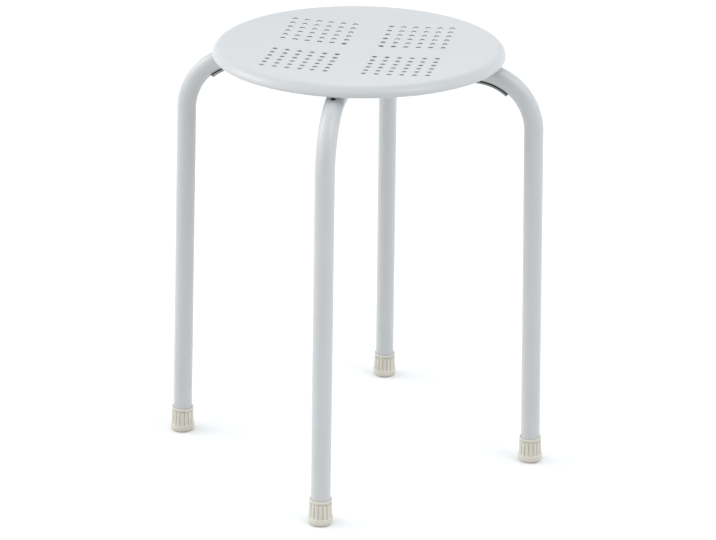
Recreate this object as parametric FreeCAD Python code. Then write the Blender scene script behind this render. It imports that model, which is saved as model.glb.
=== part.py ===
import FreeCAD, Part
import math
import os

# Stacking stool: a dished, perforated round steel seat on four bent tube legs.
# Millimetres, +Z up. The origin is on the floor under the middle of the seat.
# The legs stand on the X and Y axes: front is -Y, right is +X.

# Seat pan, pressed from sheet with a rolled rim
SEAT_RADIUS = 150.0
SEAT_HEIGHT = 450.0
SHEET = 1.2
RIM_ROLL_RADIUS = 10.0
RIM_CURL_RADIUS = 2.0
RIM_CURL_START = 78.0
RIM_CURL_END = 205.0
DISH_RIM_SLOPE = 5.3

# Perforations: four square groups around a plain cross
HOLE_DIAMETER = 5.5
HOLE_PITCH = 12.9
HOLES_PER_SIDE = 6
PLAIN_CROSS_WIDTH = 38.5

# Leg tube: a splayed straight, a bend and a level run to the middle
TUBE_RADIUS = 10.0
TUBE_WALL = 1.5
BEND_RADIUS = 62.0
BEND_CENTRE_OUT = 120.0
LEVEL_HEIGHT = 430.0
LEG_SPLAY = 1.45

# Plate between the crossing tubes and the pan
PLATE_RADIUS = 38.0
PLATE_THICKNESS = 2.0

# Studs that hold the pan down on the legs
STUD_OUT = 56.0
STUD_RADIUS = 3.0
STUD_HOLE_RADIUS = 3.2
STUD_BOTTOM = 412.7
SPACER_RADIUS = 6.5
SADDLE_RADIUS = 8.0
SADDLE_SIDE_HEIGHT = 2.2
SADDLE_FLOOR = 1.8
NUT_ACROSS_FLATS = 10.0
NUT_HEIGHT = 4.5

# Stacking pad under each bend: a strip on a soft liner, held by a peg through the tube wall.
# Depths are measured from the tube's surface, angles along the bend from level outward.
PAD_DEPTH = 3.1
LINER_DEPTH = 1.3
LINER_CLEARANCE = 0.05
PAD_START = 49.0
PAD_END = 90.0
PAD_WRAP = 31.0
LINER_WRAP = 29.0
PAD_EDGE_ROUND = 0.6
PEG_ANGLE = 72.0
PEG_RADIUS = 2.5
PEG_HOLE_RADIUS = 2.65
PEG_BARB_RADIUS = 3.1
PEG_BARB_LIFT = 0.8
PEG_BARB_LENGTH = 2.0

# Foot cap and the steel disc inside it
CAP_HEIGHT = 27.5
CAP_SOLE_RADIUS = 8.4
CAP_SOLE_SPARE = 0.4
CAP_SOLE_THICKNESS = 4.0
FLARE_RADIUS = 13.0
FLARE_LOW = 4.8
FLARE_HIGH = 7.2
FLARE_BLEND_TOP = 9.5
CAP_LOW_RADIUS = 11.35
CAP_TOP_RADIUS = 10.95
COLLAR_HEIGHT = 3.2
COLLAR_RADIUS = 11.6
COLLAR_EDGE = 0.8
RIB_COUNT = 16
RIB_RADIUS = 0.7
RIB_SINK = 0.2
RIB_TUCK = 0.5
FLARE_BLEND_TUCK = 1.5
DISC_THICKNESS = 1.5
DISC_CLEARANCE = 0.1

# Places worked out from the dimensions above
ORIGIN = FreeCAD.Vector(0, 0, 0)
UP = FreeCAD.Vector(0, 0, 1)
BEND_AXIS = FreeCAD.Vector(0, -1, 0)
BEND_CENTRE_UP = LEVEL_HEIGHT - BEND_RADIUS
SPLAY = math.radians(LEG_SPLAY)
BEND_START_OUT = BEND_CENTRE_OUT + BEND_RADIUS * math.cos(SPLAY)
BEND_START_UP = BEND_CENTRE_UP + BEND_RADIUS * math.sin(SPLAY)
FLOOR_OUT = BEND_START_OUT + BEND_START_UP * math.tan(SPLAY)
TUBE_END = CAP_SOLE_THICKNESS + DISC_THICKNESS
RIM_CENTRE_UP = SEAT_HEIGHT - RIM_ROLL_RADIUS
RIM_CENTRE_OUT = (SEAT_RADIUS - RIM_CURL_RADIUS
                  - (RIM_ROLL_RADIUS - RIM_CURL_RADIUS) * math.sin(math.radians(RIM_CURL_START)))
DISH_RADIUS = RIM_CENTRE_OUT / math.sin(math.radians(DISH_RIM_SLOPE)) - RIM_ROLL_RADIUS
DISH_CENTRE_UP = (RIM_CENTRE_UP
                  + (RIM_ROLL_RADIUS + DISH_RADIUS) * math.cos(math.radians(DISH_RIM_SLOPE)))
SIDES = {"right": 0, "back": 90, "left": 180, "front": 270}


def side_point(out, up):
    """A point in the plane of the right leg: distance from the middle, height."""
    return FreeCAD.Vector(out, 0, up)


def around(centre, radius, tilt):
    """A point on a circle in that plane. Tilt 0 is straight up, 90 is outward."""
    angle = math.radians(tilt)
    return side_point(centre[0] + radius * math.sin(angle), centre[1] + radius * math.cos(angle))


def arc_edge(centre, radius, tilt_a, tilt_b):
    """An arc in the plane of the right leg between two tilts."""
    middle = (tilt_a + tilt_b) / 2
    arc = Part.Arc(
        around(centre, radius, tilt_a),
        around(centre, radius, middle),
        around(centre, radius, tilt_b),
    )
    return arc.toShape()


def make_seat_pan():
    """Dish, rim roll and tight curl as one revolved sheet, then the perforations."""
    slope = DISH_RIM_SLOPE
    rim = (RIM_CENTRE_OUT, RIM_CENTRE_UP)
    dish = (0.0, DISH_CENTRE_UP)
    curl_point = around(rim, RIM_ROLL_RADIUS - RIM_CURL_RADIUS, RIM_CURL_START)
    curl = (curl_point.x, curl_point.z)
    under_roll = RIM_ROLL_RADIUS - SHEET
    under_curl = RIM_CURL_RADIUS - SHEET
    under_dish = DISH_RADIUS + SHEET
    top = [
        arc_edge(dish, DISH_RADIUS, 180, 180 - slope),
        arc_edge(rim, RIM_ROLL_RADIUS, -slope, RIM_CURL_START),
        arc_edge(curl, RIM_CURL_RADIUS, RIM_CURL_START, RIM_CURL_END),
    ]
    hem = Part.makeLine(
        around(curl, RIM_CURL_RADIUS, RIM_CURL_END),
        around(curl, under_curl, RIM_CURL_END),
    )
    under = [
        arc_edge(curl, under_curl, RIM_CURL_END, RIM_CURL_START),
        arc_edge(rim, under_roll, RIM_CURL_START, -slope),
        arc_edge(dish, under_dish, 180 - slope, 180),
    ]
    middle = Part.makeLine(around(dish, under_dish, 180), around(dish, DISH_RADIUS, 180))
    profile = Part.Wire(top + [hem] + under + [middle])
    pan = Part.Face(profile).revolve(ORIGIN, UP, 360)
    return pan.cut(Part.Compound(perforation_punches()))


def perforation_punches():
    """One upright cylinder per perforation, through the whole dish."""
    height = 2 * RIM_ROLL_RADIUS
    first = PLAIN_CROSS_WIDTH / 2
    steps = [first + i * HOLE_PITCH for i in range(HOLES_PER_SIDE)]
    places = [-step for step in steps] + steps
    punches = []
    for x in places:
        for y in places:
            foot = FreeCAD.Vector(x, y, SEAT_HEIGHT - height)
            punches.append(Part.makeCylinder(HOLE_DIAMETER / 2, height, foot))
    return punches


def leg_path(inner_end):
    """Centre line of the right leg, from the foot disc to its inner end."""
    foot = side_point(FLOOR_OUT - TUBE_END * math.sin(SPLAY), TUBE_END * math.cos(SPLAY))
    bend_start = side_point(BEND_START_OUT, BEND_START_UP)
    bend_end = side_point(BEND_CENTRE_OUT, LEVEL_HEIGHT)
    centre = (BEND_CENTRE_OUT, BEND_CENTRE_UP)
    return Part.Wire([
        Part.makeLine(foot, bend_start),
        arc_edge(centre, BEND_RADIUS, 90 - LEG_SPLAY, 0),
        Part.makeLine(bend_end, side_point(inner_end, LEVEL_HEIGHT)),
    ])


def swept_round(path, radius):
    """A round bar of the given radius along a path."""
    start = path.Edges[0].valueAt(path.Edges[0].FirstParameter)
    heading = path.Edges[0].tangentAt(path.Edges[0].FirstParameter)
    circle = Part.Wire([Part.makeCircle(radius, start, heading)])
    return path.makePipeShell([circle], True, False)


def peg_bore(radius, length_from_axis, length):
    """A cylinder along the peg's line, measured inward and outward from the tube's axis."""
    angle = math.radians(PEG_ANGLE)
    outward = FreeCAD.Vector(math.cos(angle), 0, math.sin(angle))
    bend_centre = side_point(BEND_CENTRE_OUT, BEND_CENTRE_UP)
    start = bend_centre + outward * (BEND_RADIUS + length_from_axis)
    return Part.makeCylinder(radius, length, start, outward)


def make_leg():
    """The right leg: hollow tube, mitred at the middle, with its peg and stud holes."""
    path = leg_path(-TUBE_RADIUS)
    outer = swept_round(path, TUBE_RADIUS)
    inner = swept_round(path, TUBE_RADIUS - TUBE_WALL)
    tube = outer.cut(inner)
    reach = 2 * TUBE_RADIUS
    peg_hole = peg_bore(PEG_HOLE_RADIUS, -reach, 2 * reach)
    stud_hole = Part.makeCylinder(STUD_HOLE_RADIUS, 2 * reach, side_point(STUD_OUT, LEVEL_HEIGHT - reach))
    return tube.cut(Part.Compound([mitre_space(reach), peg_hole, stud_hole]))


def mitre_space(reach):
    """Block with a right-angled mouth that leaves the right leg a pointed, mitred end."""
    corners = [
        FreeCAD.Vector(0, 0, 0),
        FreeCAD.Vector(reach, reach, 0),
        FreeCAD.Vector(-reach, reach, 0),
        FreeCAD.Vector(-reach, -reach, 0),
        FreeCAD.Vector(reach, -reach, 0),
        FreeCAD.Vector(0, 0, 0),
    ]
    block = Part.Face(Part.makePolygon(corners)).extrude(UP * 2 * reach)
    block.translate(side_point(0, LEVEL_HEIGHT - reach))
    return block


def make_centre_plate():
    """Round plate on top of the tubes, where they meet, under the middle of the pan."""
    return Part.makeCylinder(PLATE_RADIUS, PLATE_THICKNESS, side_point(0, LEVEL_HEIGHT + TUBE_RADIUS))


def pan_underside(out):
    """Height of the underside of the dish at a distance from the middle."""
    under_dish = DISH_RADIUS + SHEET
    return DISH_CENTRE_UP - math.sqrt(under_dish ** 2 - out ** 2)


def make_stud():
    """Threaded stud, shown plain, welded to the underside of the pan."""
    top = pan_underside(STUD_OUT - STUD_RADIUS)
    return Part.makeCylinder(STUD_RADIUS, top - STUD_BOTTOM, side_point(STUD_OUT, STUD_BOTTOM))


def make_spacer():
    """Ring around the stud that fills the gap between the tube and the pan."""
    bottom = LEVEL_HEIGHT + TUBE_RADIUS
    height = pan_underside(STUD_OUT - SPACER_RADIUS) - bottom
    ring = Part.makeCylinder(SPACER_RADIUS, height, side_point(STUD_OUT, bottom))
    return ring.cut(Part.makeCylinder(STUD_HOLE_RADIUS, height, side_point(STUD_OUT, bottom)))


def saddle_bottom():
    """Height of the saddle washer's lower face."""
    return LEVEL_HEIGHT - TUBE_RADIUS - SADDLE_FLOOR


def make_saddle():
    """Round washer whose top is hollowed to sit against the tube."""
    height = SADDLE_FLOOR + SADDLE_SIDE_HEIGHT
    washer = Part.makeCylinder(SADDLE_RADIUS, height, side_point(STUD_OUT, saddle_bottom()))
    hole = Part.makeCylinder(STUD_HOLE_RADIUS, height, side_point(STUD_OUT, saddle_bottom()))
    tube_start = side_point(STUD_OUT - 2 * SADDLE_RADIUS, LEVEL_HEIGHT)
    tube = Part.makeCylinder(TUBE_RADIUS, 4 * SADDLE_RADIUS, tube_start, FreeCAD.Vector(1, 0, 0))
    return washer.cut(Part.Compound([hole, tube]))


def make_nut():
    """Hexagon nut on the stud, under the saddle washer."""
    bottom = saddle_bottom() - NUT_HEIGHT
    corner = NUT_ACROSS_FLATS / math.sqrt(3)
    corners = []
    for i in range(7):
        angle = math.radians(60 * i)
        corners.append(side_point(STUD_OUT, bottom)
                       + FreeCAD.Vector(corner * math.cos(angle), corner * math.sin(angle), 0))
    prism = Part.Face(Part.makePolygon(corners)).extrude(UP * NUT_HEIGHT)
    return prism.cut(Part.makeCylinder(STUD_RADIUS, NUT_HEIGHT, side_point(STUD_OUT, bottom)))


def strip_under_bend(inner_radius, outer_radius, wrap):
    """Curved strip under the bend, between two distances from the tube's axis."""
    section_middle = FreeCAD.Vector(BEND_CENTRE_OUT + BEND_RADIUS, 0, BEND_CENTRE_UP)

    def section_point(radius, turn):
        angle = math.radians(180 + turn)
        return section_middle + FreeCAD.Vector(radius * math.cos(angle), radius * math.sin(angle), 0)

    edges = [
        Part.Arc(section_point(inner_radius, -wrap), section_point(inner_radius, 0),
                 section_point(inner_radius, wrap)).toShape(),
        Part.makeLine(section_point(inner_radius, wrap), section_point(outer_radius, wrap)),
        Part.Arc(section_point(outer_radius, wrap), section_point(outer_radius, 0),
                 section_point(outer_radius, -wrap)).toShape(),
        Part.makeLine(section_point(outer_radius, -wrap), section_point(inner_radius, -wrap)),
    ]
    section = Part.Face(Part.Wire(edges))
    bend_centre = side_point(BEND_CENTRE_OUT, BEND_CENTRE_UP)
    section.rotate(bend_centre, BEND_AXIS, PAD_START)
    return section.revolve(bend_centre, BEND_AXIS, PAD_END - PAD_START)


def make_liner():
    """Thin soft strip between the tube and the pad, with a hole for the pad's peg."""
    liner = strip_under_bend(TUBE_RADIUS + LINER_CLEARANCE, TUBE_RADIUS + LINER_DEPTH, LINER_WRAP)
    reach = 2 * TUBE_RADIUS
    return liner.cut(peg_bore(PEG_HOLE_RADIUS, -reach, reach))


def make_pad():
    """Curved pad under the liner, with its peg."""
    pad = strip_under_bend(TUBE_RADIUS + LINER_DEPTH, TUBE_RADIUS + PAD_DEPTH, PAD_WRAP)
    bend_centre = side_point(BEND_CENTRE_OUT, BEND_CENTRE_UP)
    pad = pad.makeFillet(PAD_EDGE_ROUND, outer_pad_edges(pad, bend_centre))
    stem_foot = -TUBE_RADIUS - (LINER_DEPTH + PAD_DEPTH) / 2
    barb_foot = -TUBE_RADIUS + TUBE_WALL + PEG_BARB_LIFT
    stem = peg_bore(PEG_RADIUS, stem_foot, barb_foot + PEG_BARB_LENGTH - stem_foot)
    barb = peg_bore(PEG_BARB_RADIUS, barb_foot, PEG_BARB_LENGTH)
    return pad.fuse([stem, barb]).removeSplitter()


def outer_pad_edges(pad, bend_centre):
    """Edges of the pad that lie on its outer skin."""
    pad_radius = TUBE_RADIUS + PAD_DEPTH
    chosen = []
    for edge in pad.Edges:
        middle = edge.valueAt((edge.FirstParameter + edge.LastParameter) / 2)
        from_bend = math.hypot(middle.x - bend_centre.x, middle.z - bend_centre.z)
        from_tube = math.hypot(from_bend - BEND_RADIUS, middle.y)
        if abs(from_tube - pad_radius) < 0.01:
            chosen.append(edge)
    return chosen


def stand_in_foot(shape):
    """Move a shape made upright at the origin onto the end of the right leg."""
    moved = shape.copy()
    moved.rotate(ORIGIN, FreeCAD.Vector(0, 1, 0), -LEG_SPLAY)
    moved.translate(side_point(FLOOR_OUT, 0))
    return moved


def make_foot_cap():
    """Ribbed cap with a collar, a flared ring and a rounded sole cut level with the floor."""
    rib_top = CAP_HEIGHT - COLLAR_HEIGHT
    sole = side_point(CAP_SOLE_RADIUS, -CAP_SOLE_SPARE)
    flare_low = side_point(FLARE_RADIUS, FLARE_LOW)
    flare_high = side_point(FLARE_RADIUS, FLARE_HIGH)
    blend_top = side_point(CAP_LOW_RADIUS, FLARE_BLEND_TOP)
    sole_round = side_point((CAP_SOLE_RADIUS + 2.4 * FLARE_RADIUS) / 3.4, FLARE_LOW / 3.4)
    blend_middle = side_point((2 * CAP_LOW_RADIUS + FLARE_RADIUS) / 3, (FLARE_HIGH + FLARE_BLEND_TOP) / 2)
    collar_low = side_point(COLLAR_RADIUS, rib_top)
    collar_high = side_point(COLLAR_RADIUS, CAP_HEIGHT - COLLAR_EDGE)
    collar_top = side_point(COLLAR_RADIUS - COLLAR_EDGE, CAP_HEIGHT)
    profile = Part.Wire([
        Part.makeLine(side_point(0, -CAP_SOLE_SPARE), sole),
        Part.Arc(sole, sole_round, flare_low).toShape(),
        Part.makeLine(flare_low, flare_high),
        Part.Arc(flare_high, blend_middle, blend_top).toShape(),
        Part.makeLine(blend_top, side_point(CAP_TOP_RADIUS, rib_top)),
        Part.makeLine(side_point(CAP_TOP_RADIUS, rib_top), collar_low),
        Part.makeLine(collar_low, collar_high),
        Part.makeLine(collar_high, collar_top),
        Part.makeLine(collar_top, side_point(0, CAP_HEIGHT)),
        Part.makeLine(side_point(0, CAP_HEIGHT), side_point(0, -CAP_SOLE_SPARE)),
    ])
    body = Part.Face(profile).revolve(ORIGIN, UP, 360)
    body = body.fuse(cap_ribs(rib_top))
    bore = Part.makeCylinder(TUBE_RADIUS, CAP_HEIGHT, side_point(0, CAP_SOLE_THICKNESS))
    cap = stand_in_foot(body.cut(bore))
    floor_size = 4 * FLARE_RADIUS
    floor_corner = FreeCAD.Vector(FLOOR_OUT - floor_size / 2, -floor_size / 2, -floor_size)
    return cap.cut(Part.makeBox(floor_size, floor_size, floor_size, floor_corner))


def cap_ribs(rib_top):
    """Half-round ribs that follow the taper, tucked into the flare and the collar."""
    foot = side_point(CAP_LOW_RADIUS - RIB_SINK, FLARE_BLEND_TOP - FLARE_BLEND_TUCK)
    head = side_point(CAP_TOP_RADIUS - RIB_SINK, rib_top + RIB_TUCK)
    rib = Part.makeCylinder(RIB_RADIUS, (head - foot).Length, foot, head - foot)
    return [turned(rib, 360 * i / RIB_COUNT) for i in range(RIB_COUNT)]


def make_foot_disc():
    """Steel disc in the bottom of the cap, so that the tube end can't cut through."""
    disc = Part.makeCylinder(
        TUBE_RADIUS - DISC_CLEARANCE, DISC_THICKNESS, side_point(0, CAP_SOLE_THICKNESS)
    )
    return stand_in_foot(disc)


def turned(shape, degrees):
    """A copy of a right-leg shape, turned about the stool's middle to another side."""
    copy = shape.copy()
    copy.rotate(ORIGIN, UP, degrees)
    return copy


def export(name, shape):
    """Write one sub-part."""
    shape.exportStep("parts/" + name + ".step")


def main():
    os.makedirs("parts", exist_ok=True)
    export("seat_pan", make_seat_pan())
    export("centre_plate", make_centre_plate())

    per_side = {
        "leg": make_leg(),
        "stacking_pad": make_pad(),
        "pad_liner": make_liner(),
        "foot_cap": make_foot_cap(),
        "foot_disc": make_foot_disc(),
    }
    for kind, shape in per_side.items():
        for side, degrees in SIDES.items():
            export(kind + "_" + side, turned(shape, degrees))

    fastener_sets = {
        "seat_studs": make_stud(),
        "spacer_rings": make_spacer(),
        "saddle_washers": make_saddle(),
        "stud_nuts": make_nut(),
    }
    for name, shape in fastener_sets.items():
        export(name, Part.Compound([turned(shape, degrees) for degrees in SIDES.values()]))


main()
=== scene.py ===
import math

import bmesh
import bpy
from mathutils import Matrix, Vector
from mathutils.geometry import delaunay_2d_cdt


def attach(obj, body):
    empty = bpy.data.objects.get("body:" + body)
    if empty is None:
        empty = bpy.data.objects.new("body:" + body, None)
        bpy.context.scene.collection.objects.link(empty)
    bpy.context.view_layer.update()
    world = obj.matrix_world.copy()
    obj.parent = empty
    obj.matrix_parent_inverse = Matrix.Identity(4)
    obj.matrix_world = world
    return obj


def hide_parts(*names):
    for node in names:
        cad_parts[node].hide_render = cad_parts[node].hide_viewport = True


# Stacking stool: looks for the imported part. Lengths are millimetres until MM turns them into metres.
# The right leg lies along +X, and the other three are that one turned about +Z.
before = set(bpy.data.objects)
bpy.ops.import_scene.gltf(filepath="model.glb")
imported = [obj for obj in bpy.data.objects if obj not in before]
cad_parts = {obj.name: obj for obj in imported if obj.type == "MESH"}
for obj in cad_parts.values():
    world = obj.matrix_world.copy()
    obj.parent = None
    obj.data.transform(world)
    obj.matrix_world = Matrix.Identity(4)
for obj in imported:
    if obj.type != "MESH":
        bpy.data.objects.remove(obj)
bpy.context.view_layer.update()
MM = 0.001
SIDES = {"right": 0, "back": 90, "left": 180, "front": 270}

# Seat pan
SEAT_RADIUS = 150.0
SEAT_HEIGHT = 450.0
SHEET = 1.2
ROLL_RADIUS = 10.0
CURL_RADIUS = 2.0
CURL_START = 78.0
CURL_END = 205.0
HEM_TURN = 6.0
RIM_SLOPE = 5.3
HOLE_RADIUS = 2.75
HOLE_PITCH = 12.9
HOLES_PER_SIDE = 6
PLAIN_CROSS = 38.5
HOLE_LIP = 0.4
# Drawn edge under a hole: distance out from its wall, drop below the sheet
DRAWN_EDGE = [(0.0, 0.2), (0.1, 0.3), (0.3, 0.25), (0.4, 0.15), (0.6, 0.0)]
PUNCHED_RINGS = 2

# Seat mesh: its outer ring, the rings from there to the roll, and how far loose points keep off
DISH_MESH_OUT = 133.0
RIM_MESH_STEPS = (1.5, 3.5)
HOLE_GUARD = 0.4
HOLE_CLEAR = 1.2
EDGE_CLEAR = 3.0
INSIDE_SHARE = 0.97
HOLE_SEGMENTS = 24
LIP_TILTS = (30, 60, 90)
RIM_SEGMENTS = 256
ROLL_STEPS = 18
ROLL_UNDER_STEPS = 14
CURL_STEPS = 14
CURL_UNDER_STEPS = 8

# All meshes: closeness at which plan points join, and the angle from which an edge shades sharp
PLAN_TOLERANCE = 1e-6
SHARP_ANGLE = 38.0

# Leg tube
TUBE_RADIUS = 10.0
TUBE_WALL = 1.5
BEND_RADIUS = 62.0
BEND_OUT = 120.0
LEVEL = 430.0
SPLAY = math.radians(1.45)
TUBE_LIP = 0.25
BORE_LIP = -0.15
PEG_ANGLE = math.radians(72.0)
PEG_RADIUS = 2.5
PEG_HOLE_RADIUS = 2.65
PEG_BARB_RADIUS = 3.1
PEG_BARB_LIFT = 0.8
# Peg's barb and tip: radius, height against the barb's shoulder
PEG_TIP = [(PEG_RADIUS, -0.2), (PEG_BARB_RADIUS - 0.2, 0.0), (PEG_BARB_RADIUS, 0.3),
           (PEG_BARB_RADIUS - 0.15, 0.9), (PEG_RADIUS, 1.6), (1.7, 2.0), (0, 2.0)]
PEG_SEGMENTS = 32
STUD_OUT = 56.0
STUD_RADIUS = 3.0
STUD_HOLE_RADIUS = 3.2

# Leg mesh: segments, ring spacings, and rings and segments on each side of a hole
TUBE_SEGMENTS = 64
STRAIGHT_STEP = 9.0
BEND_STEP = 1.6
LEVEL_STEP = 4.0
MIDDLE_STEP = 8.0
HOLE_STEP = 1.0
MITRE_CLEAR = 2.0
BLOCK = 5
BLOCK_SHARES = (0.35, 0.7, 0.9, 1.0)
LIP_SHARES = (0.5, 1.0)

# Stacking pads: depths from the tube's axis, angles along the bend and round the tube
PAD_START = math.radians(49.0)
PAD_END = math.radians(90.0)
PAD_WRAP = math.radians(31.0)
PAD_OUT = 13.1
LINER_WRAP = math.radians(29.0)
LINER_IN = 10.05
LINER_OUT = 11.3
PAD_CORNER = 1.3
LEAST_CORNER = 0.1
# Sections of pad and liner, from the tube outward: inset of the outline, depth
PAD_SECTION = [(0.25, LINER_OUT + 0.02), (0.0, LINER_OUT + 0.25), (0.0, PAD_OUT - 0.7),
               (0.15, PAD_OUT - 0.32), (0.45, PAD_OUT - 0.08), (0.85, PAD_OUT)]
LINER_SECTION = [(0.0, LINER_IN), (0.12, LINER_IN + 0.4), (0.16, (LINER_IN + LINER_OUT) / 2),
                 (0.12, LINER_OUT - 0.4), (0.0, LINER_OUT)]

# Pad mesh
PAD_MESH_STEP = 1.6
PAD_MESH_ALONG = 12
PAD_MESH_ACROSS = 4
PEG_CLEAR = 0.8
CORNER_STEPS = 6
LONG_SIDE_STEPS = 18
SHORT_SIDE_STEPS = 6

# Centre plate. Its edge: inset, depth from a face. Its pressed ring: radius, depth from the top
PLATE_RADIUS = 38.0
PLATE_THICKNESS = 2.0
PLATE_EDGE = [(0.5, 0.0), (0.12, 0.15), (0.0, 0.5)]
PLATE_RING = [(31.0, 0.0), (30.6, 0.3), (29.4, 0.3), (29.0, 0.0)]
PLATE_SEGMENTS = 96

# Weld beads: their size and ripple, the seams between tubes, the runs beside the tubes
BEAD_RADIUS = 1.3
BEAD_RIPPLE = 1.7
BEAD_RIPPLE_SHARE = 0.10
BEAD_END_SHARE = 0.45
BEAD_FADE = 0.3
BEAD_SEGMENTS = 14
BEAD_SHARP_ANGLE = 70.0
OFF_EVERY_BEAD = Vector((0.31, 0.17, 0.93))
SEAM_DEGREES = range(38, 177, 2)
SEAM_SINK = 0.3
RUN_START = 15.0
RUN_STEP = 0.4
RUN_COUNT = 52
RUN_SIDE = 3.6
RUN_DROP = 1.0

# Fasteners
SPACER_RADIUS = 6.5
SPACER_ROUND = 0.3
SPACER_WAIST_DEPTH = 0.12
SPACER_WAIST_HALF = 0.2
BORE_CHAMFER = 0.2
SADDLE_RADIUS = 8.0
SADDLE_FLOOR = 1.8
SADDLE_SIDE = 2.2
# Saddle washer's section: radius, share of the height there
SADDLE_SECTION = [
    (STUD_HOLE_RADIUS, 0.1), (3.4, 0.0), (7.5, 0.0), (7.85, 0.06), (SADDLE_RADIUS, 0.2),
    (SADDLE_RADIUS, 0.88), (7.85, 0.98), (7.5, 1.0), (6.9, 1.0), (6.3, 1.0), (5.4, 1.0), (4.4, 1.0),
    (3.4, 1.0), (STUD_HOLE_RADIUS, 0.94),
]
FASTENER_SEGMENTS = 64
NUT_FLATS = 10.0
NUT_HEIGHT = 4.5
# Nut's section: radius before the flats, height above its underside. Then the steps of the insert
NUT_SECTION = [
    (3.03, 6.0), (4.85, 6.0), (5.8, 5.5), (5.8, 1.9), (4.95, 1.4), (4.4, 1.3), (4.33, 0.4),
    (4.15, 0.05), (3.85, 0.0), (3.7, 0.15), (3.68, 0.55), (3.12, 0.6), (3.03, 0.9),
]
NYLON_STEPS = {10: 1, 11: 1}
NUT_SEGMENTS = 72
STUD_BOTTOM = 412.7
# Stud's lower end: radius, height above its bottom
STUD_TIP = [(0, 0.0), (2.3, 0.0), (2.7, 0.4)]
STUD_CHAMFER = 0.5
STUD_RELIEF = 0.03
STUD_SEGMENTS = 32
THREAD_TOP = 424.5
THREAD_RUN_OUT = 0.4
THREAD_PITCH = 1.0
THREAD_DEPTH = 0.32
THREAD_STEPS = 8

# Foot caps
CAP_HEIGHT = 27.5
CAP_SOLE = 4.0
CAP_SPARE = 0.4
SOLE_RADIUS = 8.4
# Groove that rings the sole: radius, height
SOLE_RING = [(4.6, -CAP_SPARE), (4.9, 0.5), (5.8, 0.5), (6.1, -CAP_SPARE)]
FLARE_RADIUS = 12.98
FLARE_UP = 4.8
FLARE_TOP = 7.2
FLARE_TILTS = range(0, 91, 9)
# Brim over the flare: inset, height against FLARE_TOP
BRIM_STEPS = [(0.15, -1.8), (0.2, -0.9), (0.02, -0.5), (0.05, 0.0), (0.3, 0.3), (0.65, 0.45), (0.9, 0.8)]
RIB_COUNT = 16
RIB_LOW_RADIUS = 11.95
RIB_TOP_RADIUS = 11.6
RIB_BOTTOM = 8.8
RIB_TOP = 23.9
RIB_TOP_ROUND = 0.3
RIB_STEPS = 8
GROOVE_DEPTH = 0.95
GROOVE_FADE = 0.8
# Groove's section: degrees from its middle, share of the depth up to there
GROOVE_SECTION = [(1.7, 1.0), (2.5, 0.25), (4.0, 0.08)]
# Neck and collar: inset, height above RIB_TOP
NECK_STEPS = [(0.15, 0.0), (GROOVE_DEPTH, 0.15), (GROOVE_DEPTH, 0.5)]
COLLAR_RADIUS = 11.6
COLLAR_FOOT = [(0.25, 0.6), (0.0, 0.85)]
# Collar's edge and the mouth of the bore: inset or gap to the tube, depth below the cap's top
COLLAR_EDGE = [(0.0, 0.9), (0.12, 0.4), (0.45, 0.08), (0.8, 0.0)]
BORE_GAP = 0.02
BORE_MOUTH = [(0.3, 0.0), (0.05, 0.2), (BORE_GAP, 1.0)]
DISC_THICKNESS = 1.5

# Colours, linear
COAT_DULL = (0.494, 0.496, 0.497)
COAT_BRIGHT = (0.504, 0.506, 0.507)
COAT_SPECK = (0.42, 0.42, 0.42)
COAT_RUBBED = (0.47, 0.48, 0.49)
# Painted shade for the gap between the tubes and the pan
COAT_PAINTED_SHADE = (0.045, 0.045, 0.047)
# Hole walls: thin paint, darkened as painted shade inside the perforations
EDGE_DARK = (0.185, 0.185, 0.190)
EDGE_LIGHT = (0.255, 0.257, 0.262)
IVORY_DULL = (0.565, 0.535, 0.465)
IVORY_BRIGHT = (0.60, 0.568, 0.497)
IVORY_SCUFF = (0.40, 0.35, 0.27)
PAD_DARK = (0.265, 0.268, 0.255)
PAD_BLOOM = (0.320, 0.323, 0.310)
# Liner foam: near black, partly painted shade of the gap between tube and pad
FOAM_CELL = (0.016, 0.016, 0.017)
FOAM_WALL = (0.040, 0.040, 0.038)
ZINC_COOL = (0.55, 0.57, 0.60)
ZINC_WARM = (0.64, 0.62, 0.56)
NYLON_DULL = (0.66, 0.64, 0.58)
NYLON_BRIGHT = (0.71, 0.69, 0.63)
FLOOR_DULL = (0.835, 0.83, 0.82)
FLOOR_BRIGHT = (0.845, 0.84, 0.83)

# Bands of the coat and the cap, from and to, in metres: heights, then distance from the middle
RUBBED_CREST = (0.4485, 0.4500)
# The GAP bands bound the painted shade under the pan
GAP_FLOOR = (0.4325, 0.4355)
GAP_ROOF = (0.4419, 0.4421)
SCUFFED_SOLE = (0.0, 0.007)
GAP_REACH = (0.096, 0.112)
# The upward part of a normal where the painted shade starts and is full
GAP_FACING = (0.0, 0.4)

# Places worked out from them
BEND_UP = LEVEL - BEND_RADIUS
BEND_ARC = math.pi / 2 - SPLAY
START_OUT = BEND_OUT + BEND_RADIUS * math.cos(SPLAY)
START_UP = BEND_UP + BEND_RADIUS * math.sin(SPLAY)
FLOOR_OUT = START_OUT + START_UP * math.tan(SPLAY)
RIM_UP = SEAT_HEIGHT - ROLL_RADIUS
RIM_OUT = SEAT_RADIUS - CURL_RADIUS - (ROLL_RADIUS - CURL_RADIUS) * math.sin(math.radians(CURL_START))
DISH_RADIUS = RIM_OUT / math.sin(math.radians(RIM_SLOPE)) - ROLL_RADIUS
DISH_UP = RIM_UP + (ROLL_RADIUS + DISH_RADIUS) * math.cos(math.radians(RIM_SLOPE))


# Mesh helpers

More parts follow.
